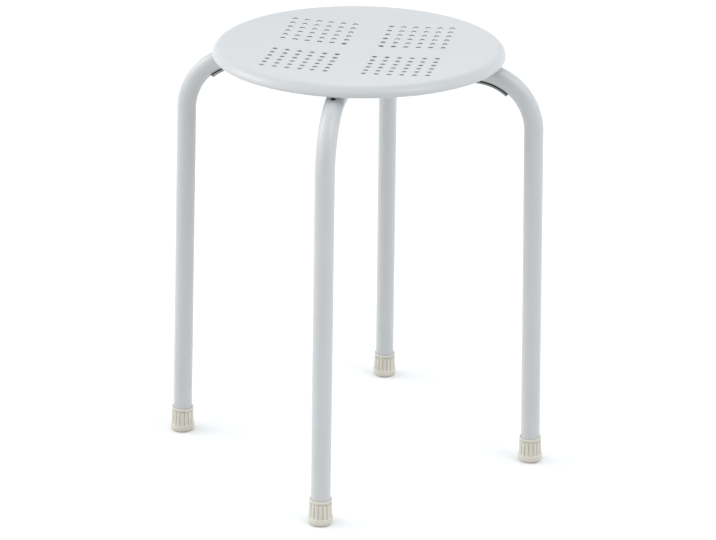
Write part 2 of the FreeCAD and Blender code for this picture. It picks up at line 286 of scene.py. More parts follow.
class Shell:
    """Points and faces of one mesh, in millimetres."""

    def __init__(self):
        self.points = []
        self.faces = []
        self.face_slots = {}

    def ring(self, points):
        """Add points and return their numbers."""
        start = len(self.points)
        self.points.extend(Vector(p) for p in points)
        return list(range(start, len(self.points)))

    def bridge(self, a, b, slot=0):
        """Quads between two closed rings of the same length."""
        count = len(a)
        for i in range(count):
            j = (i + 1) % count
            self.face((a[i], a[j], b[j], b[i]), slot)

    def face(self, corners, slot=0):
        if slot:
            self.face_slots[len(self.faces)] = slot
        self.faces.append(tuple(corners))

    def fan(self, ring, point, slot=0):
        """Close a ring with triangles to one point."""
        tip = self.ring([point])[0]
        for i in range(len(ring)):
            self.face((ring[i], ring[(i + 1) % len(ring)], tip), slot)

    def lathe(self, profile, angles, slots=None, wobble=None):
        """Turn a profile of (radius, height) points about the vertical axis, at the given angles.

        Ends at radius 0 close to a point. A profile that ends elsewhere closes on its own start.
        """
        rings = []
        for radius, height in profile:
            if radius == 0:
                rings.append((radius, height))
                continue
            points = []
            for angle in angles:
                r, z = wobble(radius, height, angle) if wobble else (radius, height)
                points.append((r * math.cos(angle), r * math.sin(angle), z))
            rings.append(self.ring(points))
        if profile[0][0] and profile[-1][0]:
            rings.append(rings[0])
        for i in range(len(rings) - 1):
            a, b = rings[i], rings[i + 1]
            slot = slots.get(i, 0) if slots else 0
            if isinstance(a, tuple):
                self.fan(b, (0, 0, a[1]), slot)
            elif isinstance(b, tuple):
                self.fan(a, (0, 0, b[1]), slot)
            else:
                self.bridge(a, b, slot)
        return self

    def moved(self, matrix):
        """A copy with its points moved by a matrix."""
        copy = Shell()
        copy.points = [matrix @ p for p in self.points]
        copy.faces = list(self.faces)
        copy.face_slots = dict(self.face_slots)
        return copy

    def join(self, other):
        """Add another shell's points and faces."""
        start, first = len(self.points), len(self.faces)
        self.points.extend(other.points)
        self.faces.extend(tuple(i + start for i in face) for face in other.faces)
        self.face_slots.update({first + k: v for k, v in other.face_slots.items()})
        return self


def turn(degrees):
    return Matrix.Rotation(math.radians(degrees), 4, "Z")


def even(count):
    """Evenly spaced angles of a full turn."""
    return [2 * math.pi * i / count for i in range(count)]


def plan_mesh(points, loops, is_open):
    """Triangles over plan points, edged by the loops, without those whose middle is_open picks out."""
    edges = [(loop[i - 1], loop[i]) for loop in loops for i in range(len(loop))]
    vectors = [Vector(p) for p in points]
    verts, _, faces, sources = delaunay_2d_cdt(vectors, edges, [], 0, PLAN_TOLERANCE)[:4]
    number = {source: i for i, group in enumerate(sources) for source in group}
    kept = [face for face in faces if not is_open(sum((verts[i] for i in face), Vector((0, 0))) / len(face))]
    return verts, kept, [[number[i] for i in loop] for loop in loops]


def on_all_sides(shell):
    """The same shell on all four legs, as one shell."""
    whole = Shell()
    for degrees in SIDES.values():
        whole.join(shell.moved(turn(degrees)))
    return whole


def new_piece(name, shell, materials, nodes, sharp=SHARP_ANGLE):
    """Make the shell an object that rides on the stool and stands for CAD nodes."""
    mesh = bpy.data.meshes.new(name)
    mesh.from_pydata([p * MM for p in shell.points], [], shell.faces)
    for material in materials:
        mesh.materials.append(material)
    for number, index in shell.face_slots.items():
        mesh.polygons[number].material_index = index
    work = bmesh.new()
    work.from_mesh(mesh)
    bmesh.ops.recalc_face_normals(work, faces=work.faces)
    work.to_mesh(mesh)
    work.free()
    mesh.shade_smooth()
    mesh.set_sharp_from_angle(angle=math.radians(sharp))
    piece = bpy.data.objects.new(name, mesh)
    bpy.context.scene.collection.objects.link(piece)
    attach(piece, "root")
    if nodes:
        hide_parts(*nodes)
    return piece


def arc(centre, radius, start, end, count, skip_first=False):
    """(radius, height) points on an arc. Tilt 0 is straight up, 90 is outward, in degrees."""
    points = []
    for i in range(1 if skip_first else 0, count + 1):
        tilt = math.radians(start + (end - start) * i / count)
        points.append((centre[0] + radius * math.sin(tilt), centre[1] + radius * math.cos(tilt)))
    return points


# Materials

def node(tree, kind, inputs=None, **settings):
    """Add a node, set its properties, and link or set its inputs."""
    made = tree.nodes.new(kind)
    for key, value in settings.items():
        setattr(made, key, value)
    for key, value in (inputs or {}).items():
        if isinstance(value, bpy.types.NodeSocket):
            tree.links.new(value, made.inputs[key])
        else:
            made.inputs[key].default_value = value
    return made


def noise(tree, place, scale, detail, rough=0.5):
    inputs = {"Vector": place, "Scale": scale, "Detail": detail, "Roughness": rough}
    return node(tree, "ShaderNodeTexNoise", inputs).outputs["Fac"]


def ramp(tree, value, low, high, to_low, to_high):
    made = node(tree, "ShaderNodeMapRange", {
        "Value": value, "From Min": low, "From Max": high, "To Min": to_low, "To Max": to_high,
    }, interpolation_type="SMOOTHSTEP")
    return made.outputs["Result"]


def cloud(tree, place, scale, detail, low, high, to_low=0.0, to_high=1.0, rough=0.5):
    """Noise with that many features per metre, its range low to high spread over to_low to to_high."""
    return ramp(tree, noise(tree, place, scale, detail, rough), low, high, to_low, to_high)


def mixed(tree, factor, a, b):
    made = node(tree, "ShaderNodeMix", data_type="RGBA")
    tree.links.new(factor, made.inputs[0])
    for index, colour in ((6, a), (7, b)):
        if isinstance(colour, bpy.types.NodeSocket):
            tree.links.new(colour, made.inputs[index])
        else:
            made.inputs[index].default_value = (*colour, 1)
    return made.outputs[2]


def bump(tree, height, strength, distance):
    inputs = {"Height": height, "Strength": strength, "Distance": distance}
    return node(tree, "ShaderNodeBump", inputs).outputs["Normal"]


def math_node(tree, operation, a, b):
    return node(tree, "ShaderNodeMath", {0: a, 1: b}, operation=operation).outputs[0]


def product(tree, first, *others):
    result = first
    for value in others:
        result = math_node(tree, "MULTIPLY", result, value)
    return result


def start_material(name):
    material = bpy.data.materials.new(name)
    material.use_nodes = True
    tree = material.node_tree
    shader = tree.nodes["Principled BSDF"]
    place = node(tree, "ShaderNodeTexCoord").outputs["Object"]
    return material, tree, shader, place


def link_surface(tree, shader, colour, rough, normal):
    tree.links.new(colour, shader.inputs["Base Color"])
    tree.links.new(rough, shader.inputs["Roughness"])
    tree.links.new(normal, shader.inputs["Normal"])


def painted_shade_over_tubes(tree, place, height):
    """Mask of painted shade: 1 on what faces up in the gap between the tubes and the pan, 0 elsewhere."""
    flat = node(tree, "ShaderNodeVectorMath", {0: place, 1: (1, 1, 0)}, operation="MULTIPLY")
    out = node(tree, "ShaderNodeVectorMath", {0: flat.outputs["Vector"]}, operation="LENGTH").outputs["Value"]
    facing = node(tree, "ShaderNodeNewGeometry").outputs["Normal"]
    upward = node(tree, "ShaderNodeSeparateXYZ", {0: facing}).outputs["Z"]
    return product(
        tree,
        ramp(tree, height, *GAP_FLOOR, 0.0, 1.0),
        ramp(tree, height, *GAP_ROOF, 1.0, 0.0),
        ramp(tree, out, *GAP_REACH, 1.0, 0.0),
        ramp(tree, upward, *GAP_FACING, 0.0, 1.0),
    )


def powder_coat():
    """Glossy off-white paint with orange peel, faint mottling, specks and a rubbed rim crest.

    Near-black painted shade lies on the upward faces in the narrow gap between the tubes and the pan, which
    the perforations show as dark.
    """
    material, tree, shader, place = start_material("powder_coat")
    height = node(tree, "ShaderNodeSeparateXYZ", {0: place}).outputs["Z"]
    colour = mixed(tree, cloud(tree, place, 16.0, 3.0, 0.3, 0.7), COAT_DULL, COAT_BRIGHT)
    colour = mixed(tree, cloud(tree, place, 950.0, 1.0, 0.72, 0.80, 0.0, 0.5), colour, COAT_SPECK)
    streaks = cloud(tree, place, 130.0, 4.0, 0.48, 0.66, rough=0.65)
    rubbed = product(tree, ramp(tree, height, *RUBBED_CREST, 0.0, 1.0), streaks)
    colour = mixed(tree, product(tree, rubbed, 0.25), colour, COAT_RUBBED)
    patchy_shade = cloud(tree, place, 140.0, 3.0, 0.3, 0.6, 0.75, 1.0)
    # Painted shade: near black on the upward faces in the gap between the tubes and the pan
    colour = mixed(tree, product(tree, painted_shade_over_tubes(tree, place, height), patchy_shade), colour, COAT_PAINTED_SHADE)
    rough = cloud(tree, place, 70.0, 3.0, 0.3, 0.7, 0.18, 0.23)
    rough = math_node(tree, "SUBTRACT", rough, product(tree, rubbed, 0.07))
    peel = bump(tree, noise(tree, place, 620.0, 2.0, 0.55), 0.14, 0.00005)
    link_surface(tree, shader, colour, rough, peel)
    shader.inputs["Specular IOR Level"].default_value = 0.5
    return material


def punched_edge_shade():
    """Thin, dull paint over the cut edges inside the perforations, darkened well below the coat as painted
    shade in the holes.
    """
    material, tree, shader, place = start_material("punched_edge_shade")
    wall_mottle = cloud(tree, place, 700.0, 3.0, 0.35, 0.65, rough=0.6)
    rough = ramp(tree, wall_mottle, 0.0, 1.0, 0.42, 0.60)
    grain = bump(tree, wall_mottle, 0.3, 0.00005)
    link_surface(tree, shader, mixed(tree, wall_mottle, EDGE_DARK, EDGE_LIGHT), rough, grain)
    return material


def ivory_plastic():
    """Moulded cream plastic, duller and browner towards the floor."""
    material, tree, shader, place = start_material("ivory_plastic")
    height = node(tree, "ShaderNodeSeparateXYZ", {0: place}).outputs["Z"]
    colour = mixed(tree, cloud(tree, place, 90.0, 4.0, 0.3, 0.7), IVORY_DULL, IVORY_BRIGHT)
    scuffs = cloud(tree, place, 420.0, 5.0, 0.42, 0.68, 0.15, 1.0, rough=0.7)
    low = ramp(tree, height, *SCUFFED_SOLE, 1.0, 0.0)
    colour = mixed(tree, product(tree, low, scuffs, 0.55), colour, IVORY_SCUFF)
    rough = cloud(tree, place, 200.0, 3.0, 0.3, 0.7, 0.42, 0.56)
    grain = bump(tree, noise(tree, place, 1500.0, 3.0, 0.6), 0.30, 0.00006)
    link_surface(tree, shader, colour, rough, grain)
    shader.inputs["Subsurface Weight"].default_value = 0.05
    shader.inputs["Subsurface Scale"].default_value = 0.002
    return material


def pad_plastic():
    """Matte grey moulded plastic with a dusty bloom."""
    material, tree, shader, place = start_material("pad_plastic")
    bloom = cloud(tree, place, 180.0, 5.0, 0.38, 0.70, rough=0.65)
    rough = ramp(tree, bloom, 0.0, 1.0, 0.50, 0.68)
    grain = bump(tree, noise(tree, place, 1900.0, 3.0, 0.7), 0.35, 0.00006)
    link_surface(tree, shader, mixed(tree, bloom, PAD_DARK, PAD_BLOOM), rough, grain)
    return material


def black_foam():
    """Closed-cell foam with small cells at its cut edges, near black, which also paints the shade of the
    narrow gap between tube and pad.
    """
    material, tree, shader, place = start_material("black_foam")
    cells = node(tree, "ShaderNodeTexVoronoi", {"Vector": place, "Scale": 1700.0}).outputs["Distance"]
    colour = mixed(tree, ramp(tree, cells, 0.1, 0.6, 0.0, 1.0), FOAM_CELL, FOAM_WALL)
    rough = ramp(tree, cells, 0.0, 0.7, 0.92, 0.75)
    link_surface(tree, shader, colour, rough, bump(tree, cells, 0.6, 0.00015))
    shader.inputs["Specular IOR Level"].default_value = 0.2
    return material


def zinc_steel():
    """Zinc plate with a faint warm and cool bloom and fine scratches."""
    material, tree, shader, place = start_material("zinc_steel")
    colour = mixed(tree, cloud(tree, place, 260.0, 3.0, 0.32, 0.68), ZINC_COOL, ZINC_WARM)
    stretched = node(tree, "ShaderNodeMapping", {"Vector": place, "Scale": (1.0, 1.0, 9.0)}).outputs[0]
    scratches = noise(tree, stretched, 900.0, 4.0, 0.7)
    rough = ramp(tree, scratches, 0.3, 0.7, 0.28, 0.48)
    link_surface(tree, shader, colour, rough, bump(tree, scratches, 0.25, 0.00005))
    shader.inputs["Metallic"].default_value = 1.0
    return material


def natural_nylon():
    """Milky moulded nylon."""
    material, tree, shader, place = start_material("natural_nylon")
    mottle = cloud(tree, place, 300.0, 3.0, 0.3, 0.7)
    rough = ramp(tree, mottle, 0.0, 1.0, 0.38, 0.50)
    grain = bump(tree, noise(tree, place, 1200.0, 2.0), 0.2, 0.00005)
    link_surface(tree, shader, mixed(tree, mottle, NYLON_DULL, NYLON_BRIGHT), rough, grain)
    shader.inputs["Subsurface Weight"].default_value = 0.2
    shader.inputs["Subsurface Scale"].default_value = 0.003
    return material


COAT = powder_coat()
EDGE = punched_edge_shade()
IVORY = ivory_plastic()
PAD_GREY = pad_plastic()
FOAM = black_foam()
ZINC = zinc_steel()
NYLON = natural_nylon()


# Seat pan

def dish_height(x, y, under=0.0):
    """Height of the dish's top, or of its underside with under=SHEET."""
    return DISH_UP - math.sqrt((DISH_RADIUS + under) ** 2 - x * x - y * y)


def hole_places():
    steps = [PLAIN_CROSS / 2 + i * HOLE_PITCH for i in range(HOLES_PER_SIDE)]
    line = [-s for s in reversed(steps)] + steps
    return [(x, y) for x in line for y in line]


def circle_points(centre, radius, count):
    return [(centre[0] + radius * math.cos(angle), centre[1] + radius * math.sin(angle))
            for angle in even(count)]


def dish_plan():
    """Plan points of the perforated dish, its triangles, the outer ring and one guard ring per hole."""
    places = hole_places()
    guard = HOLE_RADIUS + HOLE_LIP + HOLE_GUARD
    points = circle_points((0, 0), DISH_MESH_OUT, RIM_SEGMENTS)
    loops = [list(range(RIM_SEGMENTS))]
    for place in places:
        start = len(points)
        points += circle_points(place, guard, HOLE_SEGMENTS)
        loops.append(list(range(start, start + HOLE_SEGMENTS)))
    step = HOLE_PITCH / 2
    reach = int(DISH_MESH_OUT / step) + 1
    for i in range(-reach, reach + 1):
        for j in range(-reach, reach + 1):
            x, y = (i + 0.5) * step, (j + 0.5) * step
            clear = min(math.hypot(x - px, y - py) for px, py in places)
            if clear > guard + HOLE_CLEAR and math.hypot(x, y) < DISH_MESH_OUT - EDGE_CLEAR:
                points.append((x, y))

    def in_hole(middle):
        return any((middle - Vector(place)).length < guard * INSIDE_SHARE for place in places)

    return *plan_mesh(points, loops, in_hole), places


def seat_pan_shell():
    """Top and underside sheets, rounded hole walls, rim roll and curl as one closed mesh."""
    verts, faces, loops, places = dish_plan()
    shell = Shell()
    top = shell.ring([(v.x, v.y, dish_height(v.x, v.y)) for v in verts])
    under = shell.ring([(v.x, v.y, dish_height(v.x, v.y, SHEET)) for v in verts])
    for face in faces:
        shell.face([top[i] for i in face])
        shell.face([under[i] for i in reversed(face)])
    for loop, place in zip(loops[1:], places):
        add_hole_wall(shell, [top[i] for i in loop], [under[i] for i in loop], place)
    add_rim(shell, [top[i] for i in loops[0]], [under[i] for i in loops[0]])
    return shell


def add_hole_wall(shell, top_loop, under_loop, place):
    """Rounded lip, wall and the short drawn edge under one perforation."""
    previous = add_hole_ring(shell, top_loop, place, HOLE_LIP, 0.0, 0.0, 0)
    for tilt in LIP_TILTS:
        turned = math.radians(tilt)
        extra, drop = HOLE_LIP * (1 - math.sin(turned)), HOLE_LIP * (1 - math.cos(turned))
        previous = add_hole_ring(shell, previous, place, extra, drop, 0.0, 0)
    # The hole wall down to the first drawn rings takes the second, darker material: painted shade inside the
    # perforations
    for i, (extra, drop) in enumerate(DRAWN_EDGE):
        previous = add_hole_ring(shell, previous, place, extra, drop, SHEET, 1 if i < PUNCHED_RINGS else 0)
    shell.bridge(previous, under_loop)


def add_hole_ring(shell, previous, place, extra, drop, under, slot):
    points = []
    for x, y in circle_points(place, HOLE_RADIUS + extra, HOLE_SEGMENTS):
        points.append((x, y, dish_height(x, y, under) - drop))
    ring = shell.ring(points)
    shell.bridge(previous, ring, slot)
    return ring


def rim_profile():
    """Rim section from the edge of the dish mesh, over the roll and curl, and back underneath."""
    rim = (RIM_OUT, RIM_UP)
    tilt = math.radians(CURL_START)
    inner = ROLL_RADIUS - CURL_RADIUS
    curl = (rim[0] + inner * math.sin(tilt), rim[1] + inner * math.cos(tilt))
    steps = [DISH_MESH_OUT + step for step in RIM_MESH_STEPS]
    top = [(r, dish_height(r, 0)) for r in steps]
    under = [(r, dish_height(r, 0, SHEET)) for r in reversed(steps)]
    profile = top + arc(rim, ROLL_RADIUS, -RIM_SLOPE, CURL_START, ROLL_STEPS)
    profile += arc(curl, CURL_RADIUS, CURL_START, CURL_END, CURL_STEPS, True)
    profile += arc(curl, CURL_RADIUS - SHEET / 2, CURL_END, CURL_END + HEM_TURN, 1, True)
    profile += arc(curl, CURL_RADIUS - SHEET, CURL_END, CURL_START, CURL_UNDER_STEPS)
    profile += arc(rim, ROLL_RADIUS - SHEET, CURL_START, -RIM_SLOPE, ROLL_UNDER_STEPS, True)
    return profile + under


def add_rim(shell, top_loop, under_loop):
    previous = top_loop
    for radius, height in rim_profile():
        ring = shell.ring([(x, y, height) for x, y in circle_points((0, 0), radius, RIM_SEGMENTS)])
        shell.bridge(previous, ring)
        previous = ring
    shell.bridge(previous, under_loop)


new_piece("seat_pan_pressing", seat_pan_shell(), [COAT, EDGE], ["seat_pan"])


# Legs

STRAIGHT = START_UP / math.cos(SPLAY)
BEND_LENGTH = BEND_RADIUS * BEND_ARC
FOOT_U = CAP_SOLE + DISC_THICKNESS
PEG_U = STRAIGHT + BEND_RADIUS * (PEG_ANGLE - SPLAY)
LEVEL_U = STRAIGHT + BEND_LENGTH
STUD_U = LEVEL_U + BEND_OUT - STUD_OUT
MIDDLE_U = LEVEL_U + BEND_OUT


def leg_frame(u):
    """Centre line point of the right leg at length u from the floor, and the direction away from the bend."""
    if u < STRAIGHT:
        return (Vector((FLOOR_OUT - u * math.sin(SPLAY), 0, u * math.cos(SPLAY))),
                Vector((math.cos(SPLAY), 0, math.sin(SPLAY))))
    if u < LEVEL_U:
        angle = SPLAY + (u - STRAIGHT) / BEND_RADIUS
        away = Vector((math.cos(angle), 0, math.sin(angle)))
        return Vector((BEND_OUT, 0, BEND_UP)) + away * BEND_RADIUS, away
    return Vector((BEND_OUT - (u - LEVEL_U), 0, LEVEL)), Vector((0, 0, 1))


def leg_point(u, phi, radius):
    """Point on a tube of that radius: phi 0 is the outer or upper side."""
    centre, away = leg_frame(u)
    return centre + away * (radius * math.cos(phi)) + Vector((0, radius * math.sin(phi), 0))


def leg_stations():
    """Lengths along the tube where it has a ring, closer together where it bends and round its holes."""
    peg, stud = [(hole_u - BLOCK * HOLE_STEP, hole_u + BLOCK * HOLE_STEP) for hole_u in (PEG_U, STUD_U)]
    spans = [(FOOT_U, STRAIGHT, STRAIGHT_STEP), (STRAIGHT, peg[0], BEND_STEP), (*peg, HOLE_STEP),
             (peg[1], LEVEL_U, BEND_STEP), (LEVEL_U, stud[0], LEVEL_STEP), (*stud, HOLE_STEP),
             (stud[1], MIDDLE_U - TUBE_RADIUS - MITRE_CLEAR, MIDDLE_STEP)]
    stations = []
    for low, high, step in spans:
        count = max(1, round((high - low) / step))
        stations += [low + (high - low) * i / count for i in range(count)]
    return stations + [spans[-1][1]]


def hole_point(hole_u, side, hole_radius, psi, radius):
    """Where a round hole square to the tube's axis meets a tube of that radius, as (u, phi)."""
    along, across = hole_radius * math.cos(psi), hole_radius * math.sin(psi)
    swing = math.asin(across / radius)
    if hole_u < LEVEL_U:
        from_bend = BEND_RADIUS + side * radius * math.cos(swing)
        along = BEND_RADIUS * math.asin(along / from_bend)
    return hole_u + along, (0 if side > 0 else math.pi) + side * swing


def block_loop(stations, hole_u, side):
    """Ring and segment numbers round the square block of quads that a hole replaces."""
    middle = min(range(len(stations)), key=lambda i: abs(stations[i] - hole_u))
    centre = 0 if side > 0 else TUBE_SEGMENTS // 2
    edge = range(-BLOCK, BLOCK)
    loop = [(middle + i, -BLOCK) for i in edge] + [(middle + BLOCK, j) for j in edge]
    loop += [(middle - i, BLOCK) for i in edge] + [(middle - BLOCK, -j) for j in edge]
    return middle, centre, loop


def tube_wall(shell, stations, radius, lip):
    """One skin of the leg tube with its four holes. Returns the end rings and the hole rings."""
    rings = [shell.ring([leg_point(u, 2 * math.pi * j / TUBE_SEGMENTS, radius) for j in range(TUBE_SEGMENTS)])
             for u in stations]
    holes, skipped = [], set()
    for hole_u, hole_radius in ((PEG_U, PEG_HOLE_RADIUS), (STUD_U, STUD_HOLE_RADIUS)):
        for side in (1, -1):
            middle, centre, loop = block_loop(stations, hole_u, side)
            skipped |= {(middle + i, (centre + j) % TUBE_SEGMENTS)
                        for i in range(-BLOCK, BLOCK) for j in range(-BLOCK, BLOCK)}
            holes.append(add_tube_hole(shell, stations, rings, radius, lip,
                                       (hole_u, hole_radius, side), (middle, centre, loop)))
    for i in range(len(rings) - 1):
        for j in range(TUBE_SEGMENTS):
            if (i, j) not in skipped:
                k = (j + 1) % TUBE_SEGMENTS
                shell.face((rings[i][j], rings[i][k], rings[i + 1][k], rings[i + 1][j]))
    mitre = []
    for j in range(TUBE_SEGMENTS):
        phi = 2 * math.pi * j / TUBE_SEGMENTS
        y = radius * math.sin(phi)
        mitre.append((abs(y), y, LEVEL + radius * math.cos(phi)))
    last = shell.ring(mitre)
    shell.bridge(rings[-1], last)
    return rings[0], last, holes


def add_tube_hole(shell, stations, rings, radius, lip, hole, block):
    """Fill the block round one hole with rings that shrink to the hole's edge, and add its lip."""
    hole_u, hole_radius, side = hole
    middle, centre, loop = block
    outline = [rings[i][(centre + j) % TUBE_SEGMENTS] for i, j in loop]
    edge_radius = hole_radius + abs(lip)
    starts, ends = [], []
    for i, j in loop:
        psi = math.atan2(j, i - middle) * (1 if side > 0 else -1)
        start_phi = 2 * math.pi * (centre + j) / TUBE_SEGMENTS
        starts.append((stations[i], start_phi))
        u, phi = hole_point(hole_u, side, edge_radius, psi, radius)
        phi += 2 * math.pi * round((start_phi - phi) / (2 * math.pi))
        ends.append((u, phi, psi))
    previous = outline
    for t in BLOCK_SHARES:
        ring = shell.ring([leg_point(a[0] + (b[0] - a[0]) * t, a[1] + (b[1] - a[1]) * t, radius)
                           for a, b in zip(starts, ends)])
        shell.bridge(previous, ring)
        previous = ring
    for share in LIP_SHARES:
        turn_in = math.radians(90 * share)
        shrink = hole_radius + abs(lip) * (1 - math.sin(turn_in))
        depth = lip * (1 - math.cos(turn_in))
        points = []
        for _, _, psi in ends:
            u, phi = hole_point(hole_u, side, shrink, psi, radius)
            points.append(leg_point(u, phi, radius - depth))
        ring = shell.ring(points)
        shell.bridge(previous, ring)
        previous = ring
    return previous


def leg_shell():
    """The hollow right leg, mitred at the middle, with its peg and stud holes."""
    shell = Shell()
    stations = leg_stations()
    foot, mitre, holes = tube_wall(shell, stations, TUBE_RADIUS, TUBE_LIP)
    bore_foot, bore_mitre, bore_holes = tube_wall(shell, stations, TUBE_RADIUS - TUBE_WALL, BORE_LIP)
    shell.bridge(foot, bore_foot)
    shell.bridge(mitre, bore_mitre)
    for outer, inner in zip(holes, bore_holes):
        shell.bridge(outer, inner)
    return shell


LEG = leg_shell()
for side_name, degrees in SIDES.items():
    new_piece(side_name + "_leg_tube", LEG.moved(turn(degrees)), [COAT], ["leg_" + side_name])


# Stacking pads and their liners

PAD_PLAN_RADIUS = BEND_RADIUS - (PAD_OUT + LINER_IN) / 2
PAD_MIDDLE = (PAD_START + PAD_END) / 2
PAD_HALF_LENGTH = PAD_PLAN_RADIUS * (PAD_END - PAD_START) / 2
PEG_ALONG = PAD_PLAN_RADIUS * (PEG_ANGLE - PAD_MIDDLE)


def bend_frame(angle):
    """Centre line point of the bend at an angle, and the direction away from the bend's centre."""
    away = Vector((math.cos(angle), 0, math.sin(angle)))
    return Vector((BEND_OUT, 0, BEND_UP)) + away * BEND_RADIUS, away


def under_bend(plan, radius):
    """Lay a plan point (along the bend, across it) on the inner side of the bend."""
    centre, away = bend_frame(PAD_MIDDLE + plan[0] / PAD_PLAN_RADIUS)
    swing = plan[1] / (BEND_RADIUS - PAD_PLAN_RADIUS)
    return centre - away * (radius * math.cos(swing)) + Vector((0, radius * math.sin(swing), 0))


def rounded_outline(half_length, half_width, inset):
    """Rectangle with round corners, drawn inward by an inset, always with as many points."""
    round_off = max(PAD_CORNER - inset, LEAST_CORNER)
    x, y = half_length - inset - round_off, half_width - inset - round_off
    corners = [(x, y), (-x, y), (-x, -y), (x, -y)]
    arcs = []
    for i, (cx, cy) in enumerate(corners):
        tilts = [math.radians(90 * (i + k / CORNER_STEPS)) for k in range(CORNER_STEPS + 1)]
        arcs.append([(cx + round_off * math.cos(t), cy + round_off * math.sin(t)) for t in tilts])
    points = []
    for i, corner in enumerate(arcs):
        last, following = corner[-1], arcs[(i + 1) % 4][0]
        count = SHORT_SIDE_STEPS if i % 2 else LONG_SIDE_STEPS
        points += corner
        for k in range(1, count):
            share = k / count
            points.append((last[0] + (following[0] - last[0]) * share,
                           last[1] + (following[1] - last[1]) * share))
    return points


def strip_shell(wrap, profile, hole_radius=0.0):
    """Curved strip under the bend. The profile lists (inset, distance from the tube's axis)."""
    half_width = wrap * (BEND_RADIUS - PAD_PLAN_RADIUS)
    shell = Shell()
    skins = [strip_skin(shell, rounded_outline(PAD_HALF_LENGTH, half_width, inset), radius, hole_radius)
             for inset, radius in (profile[0], profile[-1])]
    previous = skins[0][0]
    for inset, radius in profile[1:-1]:
        outline = rounded_outline(PAD_HALF_LENGTH, half_width, inset)
        ring = shell.ring([under_bend(p, radius) for p in outline])
        shell.bridge(previous, ring)
        previous = ring
    shell.bridge(previous, skins[1][0])
    if hole_radius:
        shell.bridge(skins[0][1], skins[1][1])
    return shell


def strip_skin(shell, outline, radius, hole_radius):
    """One face of a strip, with a hole for the peg if it has one. Returns its edge loops."""
    points, loops = list(outline), [list(range(len(outline)))]
    if hole_radius:
        points += circle_points((PEG_ALONG, 0), hole_radius, HOLE_SEGMENTS)
        loops.append(list(range(len(outline), len(points))))
    reach_x = max(x for x, _ in outline) - PAD_MESH_STEP / 2
    reach_y = max(y for _, y in outline) - PAD_MESH_STEP / 2
    for i in range(-PAD_MESH_ALONG, PAD_MESH_ALONG + 1):
        for j in range(-PAD_MESH_ACROSS, PAD_MESH_ACROSS + 1):
            x, y = i * PAD_MESH_STEP, j * PAD_MESH_STEP
            clear_of_peg = not hole_radius or math.hypot(x - PEG_ALONG, y) > hole_radius + PEG_CLEAR
            if abs(x) < reach_x and abs(y) < reach_y and clear_of_peg:
                points.append((x, y))

    def in_hole(middle):
        return (middle - Vector((PEG_ALONG, 0))).length < hole_radius * INSIDE_SHARE

    verts, faces, rings = plan_mesh(points, loops, in_hole)
    numbers = shell.ring([under_bend(v, radius) for v in verts])
    for face in faces:
        shell.face([numbers[i] for i in face])
    return [[numbers[i] for i in ring] for ring in rings]


def peg_shell():
    """Barbed peg from inside the pad up through the tube's lower wall."""
    root, barb = -(LINER_OUT + PAD_OUT) / 2, -TUBE_RADIUS + TUBE_WALL + PEG_BARB_LIFT
    profile = [(0, root), (PEG_RADIUS, root)] + [(radius, barb + rise) for radius, rise in PEG_TIP]
    centre, away = bend_frame(PEG_ANGLE)
    side = Vector((0, 1, 0))
    cross = side.cross(away)
    frame_matrix = Matrix((
        (cross.x, side.x, away.x, centre.x),
        (cross.y, side.y, away.y, centre.y),
        (cross.z, side.z, away.z, centre.z),
        (0, 0, 0, 1),
    ))
    return Shell().lathe(profile, even(PEG_SEGMENTS)).moved(frame_matrix)


PAD = strip_shell(PAD_WRAP, PAD_SECTION).join(peg_shell())
LINER = strip_shell(LINER_WRAP, LINER_SECTION, PEG_HOLE_RADIUS)
for side_name, degrees in SIDES.items():
    new_piece(side_name + "_stacking_pad", PAD.moved(turn(degrees)), [PAD_GREY],
              ["stacking_pad_" + side_name])
    new_piece(side_name + "_pad_liner", LINER.moved(turn(degrees)), [FOAM],
              ["pad_liner_" + side_name])


# Foot caps

RIB_SHARE = 360 / RIB_COUNT
# Degrees after each groove's middle where the cap has mesh points
CAP_OFFSETS = (-2.4, -1.6, 0.0, 1.6, 2.4, 3.8, 7.0, RIB_SHARE / 2, RIB_SHARE - 7.0, RIB_SHARE - 3.8)


def cap_angles():
    """Angles round the cap, gathered at the grooves between its ribs."""
    return [math.radians(i * RIB_SHARE + offset) for i in range(RIB_COUNT) for offset in CAP_OFFSETS]


def ribbed(radius, height, angle):
    """Sink the grooves between the ribs, with a slight crown on each rib."""
    if not RIB_BOTTOM - GROOVE_FADE < height <= RIB_TOP:
        return radius, height
    from_groove = abs((math.degrees(angle) + RIB_SHARE / 2) % RIB_SHARE - RIB_SHARE / 2)
    sunk = next((share for reach, share in GROOVE_SECTION if from_groove < reach), 0.0)
    fade = min(1.0, (height - RIB_BOTTOM + GROOVE_FADE) / GROOVE_FADE)
    return radius - GROOVE_DEPTH * sunk * fade, height


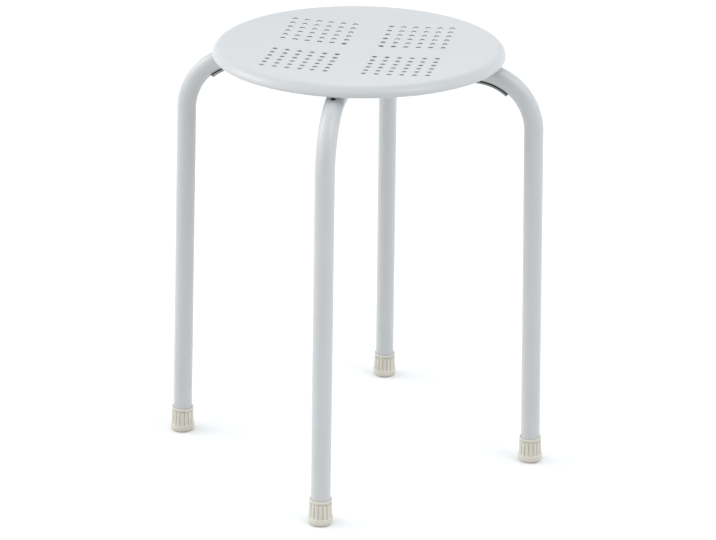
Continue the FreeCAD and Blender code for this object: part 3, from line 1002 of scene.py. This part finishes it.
def foot_cap_shell():
    """Cap with a ring in its sole, a flared brim, ribs, a necked collar and the bore for the tube."""
    profile = [(0, -CAP_SPARE)] + SOLE_RING
    for tilt in FLARE_TILTS:
        turned = math.radians(tilt)
        profile.append((SOLE_RADIUS + (FLARE_RADIUS - SOLE_RADIUS) * math.sin(turned),
                        FLARE_UP - (FLARE_UP + CAP_SPARE) * math.cos(turned)))
    profile += [(FLARE_RADIUS - inset, FLARE_TOP + rise) for inset, rise in BRIM_STEPS]
    for i in range(RIB_STEPS + 1):
        share = i / RIB_STEPS
        profile.append((RIB_LOW_RADIUS + (RIB_TOP_RADIUS - RIB_LOW_RADIUS) * share,
                        RIB_BOTTOM + (RIB_TOP - RIB_TOP_ROUND - RIB_BOTTOM) * share))
    profile += [(RIB_TOP_RADIUS - inset, RIB_TOP + rise) for inset, rise in NECK_STEPS]
    profile += [(COLLAR_RADIUS - inset, RIB_TOP + rise) for inset, rise in COLLAR_FOOT]
    profile += [(COLLAR_RADIUS - inset, CAP_HEIGHT - depth) for inset, depth in COLLAR_EDGE]
    profile += [(TUBE_RADIUS + gap, CAP_HEIGHT - depth) for gap, depth in BORE_MOUTH]
    profile += [(TUBE_RADIUS + BORE_GAP, CAP_SOLE), (0, CAP_SOLE)]
    stand = Matrix.Translation((FLOOR_OUT, 0, 0)) @ Matrix.Rotation(-SPLAY, 4, "Y")
    shell = Shell().lathe(profile, cap_angles(), wobble=ribbed).moved(stand)
    for point in shell.points:
        point.z = max(point.z, 0.0)
    return shell


FOOT_CAP = foot_cap_shell()
for side_name, degrees in SIDES.items():
    new_piece(side_name + "_foot_cap", FOOT_CAP.moved(turn(degrees)), [IVORY],
              ["foot_cap_" + side_name])
    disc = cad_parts["foot_disc_" + side_name]
    disc.data.materials.clear()
    disc.data.materials.append(ZINC)


# Centre plate and weld beads

def centre_plate_shell():
    """Round plate with softened edges and a shallow pressed ring."""
    low, high = LEVEL + TUBE_RADIUS, LEVEL + TUBE_RADIUS + PLATE_THICKNESS
    profile = [(0, low)] + [(PLATE_RADIUS - inset, low + depth) for inset, depth in PLATE_EDGE]
    profile += [(PLATE_RADIUS - inset, high - depth) for inset, depth in reversed(PLATE_EDGE)]
    profile += [(radius, high - depth) for radius, depth in PLATE_RING] + [(0, high)]
    return Shell().lathe(profile, even(PLATE_SEGMENTS))


def bead(path):
    """Rippled weld bead along a path, thinner towards its closed ends."""
    shell = Shell()
    run, rings, last = 0.0, [], len(path) - 1
    for i, point in enumerate(path):
        ahead = (path[min(i + 1, last)] - path[max(i - 1, 0)]).normalized()
        side = ahead.cross(OFF_EVERY_BEAD).normalized()
        lift = side.cross(ahead)
        run += (point - path[i - 1]).length if i else 0.0
        fade = min(1.0, BEAD_END_SHARE + BEAD_FADE * min(i, last - i))
        radius = BEAD_RADIUS * fade * (1 + BEAD_RIPPLE_SHARE * math.sin(2 * math.pi * run / BEAD_RIPPLE))
        rings.append(shell.ring([point + (side * math.cos(angle) + lift * math.sin(angle)) * radius
                                 for angle in even(BEAD_SEGMENTS)]))
    for a, b in zip(rings, rings[1:]):
        shell.bridge(a, b)
    shell.fan(rings[0], path[0])
    shell.fan(rings[-1], path[-1])
    return shell


def weld_bead_shell():
    """Beads on the mitre seams between the tubes, and beside the tubes under the plate."""
    seam = []
    for degree in SEAM_DEGREES:
        phi = math.radians(degree)
        across = (TUBE_RADIUS - SEAM_SINK) * math.sin(phi)
        seam.append(Vector((across, across, LEVEL + (TUBE_RADIUS - SEAM_SINK) * math.cos(phi))))
    beads = bead(seam)
    height = LEVEL + TUBE_RADIUS - RUN_DROP
    for side in (-RUN_SIDE, RUN_SIDE):
        beads.join(bead([Vector((RUN_START + RUN_STEP * i, side, height)) for i in range(RUN_COUNT)]))
    return on_all_sides(beads)


new_piece("centre_plate_disc", centre_plate_shell(), [COAT], ["centre_plate"])
new_piece("weld_beads", weld_bead_shell(), [COAT], [], sharp=BEAD_SHARP_ANGLE)


# Fasteners

def at_stud(shell, height=0.0):
    """Move a shape made on the vertical axis to the right leg's stud, and repeat it on all four legs."""
    return on_all_sides(shell.moved(Matrix.Translation((STUD_OUT, 0, height))))


def pan_underside(out):
    return dish_height(out, 0, SHEET)


def threaded(radius, height, angle):
    """Cut a helical thread into the lower end of the stud."""
    if radius < STUD_RADIUS or not STUD_BOTTOM + STUD_CHAMFER < height < THREAD_TOP:
        return radius, height
    phase = (height / THREAD_PITCH - angle / (2 * math.pi)) % 1.0
    return radius - THREAD_DEPTH * abs(2 * phase - 1), height


def stud_shell():
    """Stud with a thread at its lower end, up to the pan."""
    top = pan_underside(STUD_OUT - STUD_RADIUS)
    start = STUD_BOTTOM + STUD_CHAMFER
    count = round((THREAD_TOP - start) * THREAD_STEPS / THREAD_PITCH)
    profile = [(radius, STUD_BOTTOM + rise) for radius, rise in STUD_TIP]
    profile += [(STUD_RADIUS, start + i * THREAD_PITCH / THREAD_STEPS) for i in range(count + 1)]
    neck = STUD_RADIUS - STUD_RELIEF
    profile += [(neck, THREAD_TOP + THREAD_RUN_OUT), (neck, top), (0, top)]
    return Shell().lathe(profile, even(STUD_SEGMENTS), wobble=threaded)


def hexagonal(radius, height, angle):
    """Limit a turned shape to the nut's six flats."""
    share = math.pi / 3
    return min(radius, NUT_FLATS / 2 / math.cos(angle % share - share / 2)), height


def nut_shell():
    """Chamfered hexagon nut with a rolled collar over its nylon insert."""
    return Shell().lathe(NUT_SECTION, even(NUT_SEGMENTS), slots=NYLON_STEPS, wobble=hexagonal)


def saddle_shell():
    """Washer hollowed on top to sit against the tube."""
    bottom = LEVEL - TUBE_RADIUS - SADDLE_FLOOR
    full = SADDLE_FLOOR + SADDLE_SIDE

    def hollowed(radius, share, angle):
        across = radius * math.sin(angle)
        top = min(full, SADDLE_FLOOR + TUBE_RADIUS - math.sqrt(TUBE_RADIUS ** 2 - across ** 2))
        return radius, bottom + top * share

    return Shell().lathe(SADDLE_SECTION, even(FASTENER_SEGMENTS), wobble=hollowed)


def spacer_shell():
    """Ring with rounded edges and a moulding line round its waist."""
    low = LEVEL + TUBE_RADIUS
    high = pan_underside(STUD_OUT - SPACER_RADIUS)
    waist = (low + high) / 2
    inner, outer = STUD_HOLE_RADIUS + BORE_CHAMFER, SPACER_RADIUS - SPACER_ROUND
    profile = [
        (STUD_HOLE_RADIUS, low + BORE_CHAMFER), (inner, low),
        (outer, low), (SPACER_RADIUS, low + SPACER_ROUND),
        (SPACER_RADIUS, waist - SPACER_WAIST_HALF), (SPACER_RADIUS - SPACER_WAIST_DEPTH, waist),
        (SPACER_RADIUS, waist + SPACER_WAIST_HALF), (SPACER_RADIUS, high - SPACER_ROUND),
        (outer, high), (inner, high), (STUD_HOLE_RADIUS, high - BORE_CHAMFER),
    ]
    return Shell().lathe(profile, even(FASTENER_SEGMENTS))


new_piece("threaded_studs", at_stud(stud_shell()), [ZINC], ["seat_studs"])
new_piece("lock_nuts", at_stud(nut_shell(), LEVEL - TUBE_RADIUS - SADDLE_FLOOR - NUT_HEIGHT), [ZINC, NYLON],
          ["stud_nuts"])
new_piece("hollowed_washers", at_stud(saddle_shell()), [NYLON], ["saddle_washers"])
new_piece("waisted_spacers", at_stud(spacer_shell()), [NYLON], ["spacer_rings"])


# Camera, floor and light

# Camera: angles in degrees, place in metres, lens and sensor in millimetres
CAMERA_AZIMUTH = math.radians(10.055)
CAMERA_ELEVATION = math.radians(21.602)
CAMERA_ROLL = math.radians(0.731)
CAMERA_AIM = Vector((0.0016, 0, 0.2022))
CAMERA_DISTANCE = 2.7931
CAMERA_LENS = 133.14
CAMERA_SENSOR = 36.0

FLOOR_RADII = (2000, 20000)
FLOOR_SEGMENTS = 96

SKY_BASE = 0.95
SKY_TOP = 0.12
SKY_TINT = (1.0, 0.992, 0.982)
SKY_TOP_TINT = (0.85, 0.93, 1.0)
# The upward part of a direction where the top tint starts and is full
SKY_TINT_BAND = (0.35, 0.95)
# Direction, cosines where the patch starts and is full, extra strength
SKY_PATCHES = [
    ((-0.87, 0.05, 0.50), 0.930, 0.985, 2.6),
    ((0.60, -0.22, 0.77), 0.940, 0.985, 2.0),
    ((-0.45, -0.60, 0.66), 0.70, 0.92, 0.45),
    ((0.60, -0.50, 0.62), 0.74, 0.93, 0.30),
    ((-1.0, -0.2, 0.0), 0.2, 1.0, 0.60),
    ((1.0, 0.2, 0.0), 0.2, 1.0, 0.45),
    ((0.18, -0.98, -0.1), 0.3, 1.0, -0.95),
]


def make_camera():
    """Camera at the photograph's place."""
    level = math.cos(CAMERA_ELEVATION)
    back = Vector((math.sin(CAMERA_AZIMUTH) * level, -math.cos(CAMERA_AZIMUTH) * level,
                   math.sin(CAMERA_ELEVATION)))
    right = Vector((math.cos(CAMERA_AZIMUTH), math.sin(CAMERA_AZIMUTH), 0))
    up = back.cross(right)
    x_axis = right * math.cos(CAMERA_ROLL) + up * math.sin(CAMERA_ROLL)
    y_axis = up * math.cos(CAMERA_ROLL) - right * math.sin(CAMERA_ROLL)
    place = CAMERA_AIM + back * CAMERA_DISTANCE
    data = bpy.data.cameras.new("photo_camera")
    data.sensor_width = CAMERA_SENSOR
    data.lens = CAMERA_LENS
    camera = bpy.data.objects.new("photo_camera", data)
    camera.matrix_world = Matrix((
        (x_axis.x, y_axis.x, back.x, place.x),
        (x_axis.y, y_axis.y, back.y, place.y),
        (x_axis.z, y_axis.z, back.z, place.z),
        (0, 0, 0, 1),
    ))
    bpy.context.scene.collection.objects.link(camera)
    bpy.context.scene.camera = camera


def make_floor():
    """Plain pale studio floor."""
    material, tree, shader, place = start_material("studio_floor")
    colour = mixed(tree, cloud(tree, place, 3.0, 2.0, 0.3, 0.7), FLOOR_DULL, FLOOR_BRIGHT)
    tree.links.new(colour, shader.inputs["Base Color"])
    shader.inputs["Roughness"].default_value = 0.9
    shader.inputs["Specular IOR Level"].default_value = 0.1
    shell = Shell()
    inner, outer = [shell.ring([(x, y, 0) for x, y in circle_points((0, 0), radius, FLOOR_SEGMENTS)])
                    for radius in FLOOR_RADII]
    shell.fan(inner, (0, 0, 0))
    shell.bridge(inner, outer)
    mesh = bpy.data.meshes.new("studio_floor")
    mesh.from_pydata([p * MM for p in shell.points], [], shell.faces)
    mesh.materials.append(material)
    floor = bpy.data.objects.new("studio_floor", mesh)
    bpy.context.scene.collection.objects.link(floor)


def make_light():
    """Soft surround, bluish overhead, with patches of light above and beside and a dimmer low front."""
    world = bpy.data.worlds.new("studio_light")
    world.use_nodes = True
    bpy.context.scene.world = world
    tree = world.node_tree
    heading = node(tree, "ShaderNodeTexCoord").outputs["Generated"]

    def towards(direction):
        unit = Vector(direction).normalized()
        made = node(tree, "ShaderNodeVectorMath", {0: heading, 1: unit}, operation="DOT_PRODUCT")
        return made.outputs["Value"]

    up = math_node(tree, "MAXIMUM", towards((0, 0, 1)), 0.0)
    level = math_node(tree, "ADD", product(tree, up, SKY_TOP), SKY_BASE)
    for direction, low, high, extra in SKY_PATCHES:
        patch = ramp(tree, towards(direction), low, high, 0.0, extra)
        level = math_node(tree, "ADD", level, patch)
    level = math_node(tree, "MAXIMUM", level, 0.0)
    background = tree.nodes["Background"]
    tint = mixed(tree, ramp(tree, up, *SKY_TINT_BAND, 0.0, 1.0), SKY_TINT, SKY_TOP_TINT)
    tree.links.new(tint, background.inputs["Color"])
    tree.links.new(level, background.inputs["Strength"])


make_camera()
make_floor()
make_light()
bpy.context.scene.view_settings.view_transform = "Standard"
